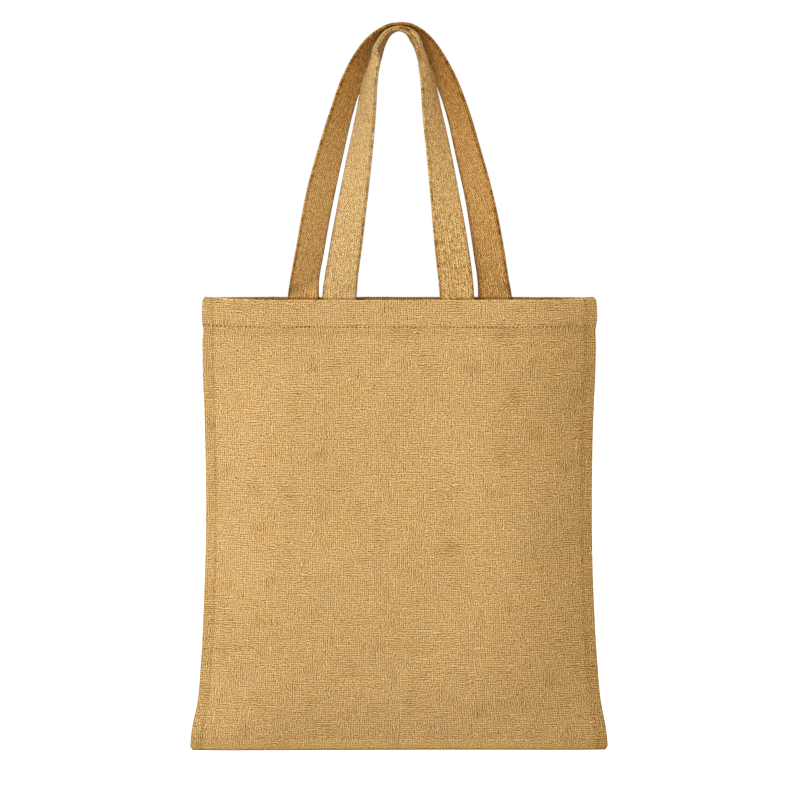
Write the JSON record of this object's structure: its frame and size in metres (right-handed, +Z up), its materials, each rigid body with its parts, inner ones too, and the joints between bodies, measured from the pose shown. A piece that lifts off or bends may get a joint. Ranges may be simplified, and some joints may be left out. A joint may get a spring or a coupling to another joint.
{
  "type": "shopping tote bag",
  "caption": "Plain woven jute tote with turned-in top hem and long webbing handles, hanging empty by both handles.",
  "frame": {"origin": "the hang point: the underside of the handles where they cross at the top", "axes": "+Z up, along the hanging bag; +Y from its front to its back; +X to the right of its front"},
  "size_m": [0.4043, 0.0515, 0.7004],
  "materials": {
    "jute_cloth": "natural plain-woven jute, matt, coarse open weave with slubs",
    "jute_webbing": "natural herringbone jute webbing, matt"
  },
  "bodies": {
    "root": {"front_panel": "jute_cloth", "back_panel": "jute_cloth", "front_handle": "jute_webbing", "back_handle": "jute_webbing"}
  },
  "joints": []
}
